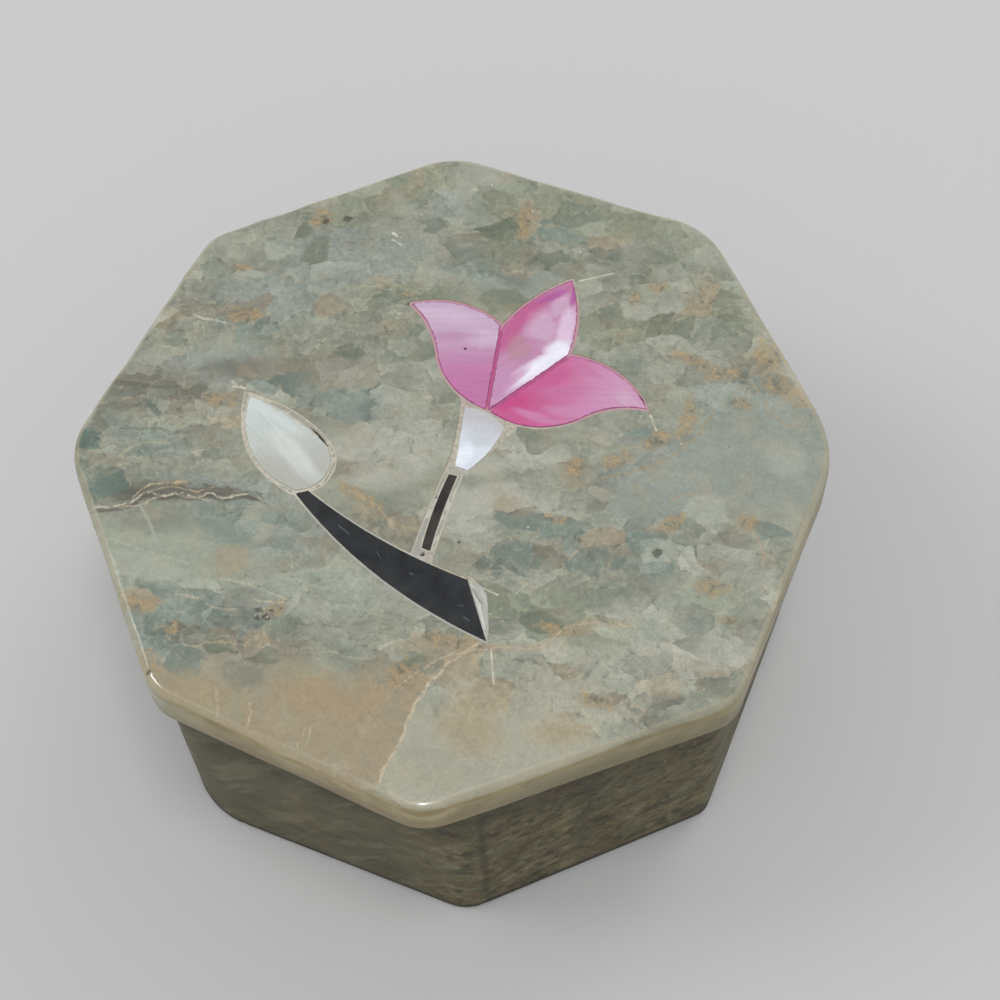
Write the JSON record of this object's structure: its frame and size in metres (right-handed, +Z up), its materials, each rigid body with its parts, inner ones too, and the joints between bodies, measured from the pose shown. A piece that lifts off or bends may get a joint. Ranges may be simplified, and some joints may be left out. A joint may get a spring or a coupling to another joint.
{
  "type": "trinket box",
  "caption": "Octagonal carved stone trinket box with a lift-off lid, and a lily on a branch of shell and black stone let into the lid's top.",
  "frame": {"origin": "on the rest plane, under the middle of the lid, which is the middle of the whole outline", "axes": "+Z up through the lid, along the way it lifts off; -Y out of the side that the lily's foot points to; +X to the right of that side"},
  "size_m": [0.0766, 0.077, 0.0363],
  "materials": {
    "soapstone_lid": "satin",
    "soapstone_base": "matte",
    "cement": "matte",
    "dyed_shell": "gloss",
    "white_shell": "gloss",
    "black_stone": "satin"
  },
  "bodies": {
    "base": {"base_box": "soapstone_base"},
    "lid": {"lid": "soapstone_lid", "inlay_cement": "cement", "petal_left": "dyed_shell", "petal_middle": "dyed_shell", "petal_right": "dyed_shell", "calyx": "white_shell", "bud": "white_shell", "stem": "black_stone", "branch": "black_stone"}
  },
  "joints": [
    {"name": "lid_lift", "type": "slide", "parent": "base", "child": "lid", "axis": [0, 0, 1], "range_m": [0, 0.045]}
  ]
}
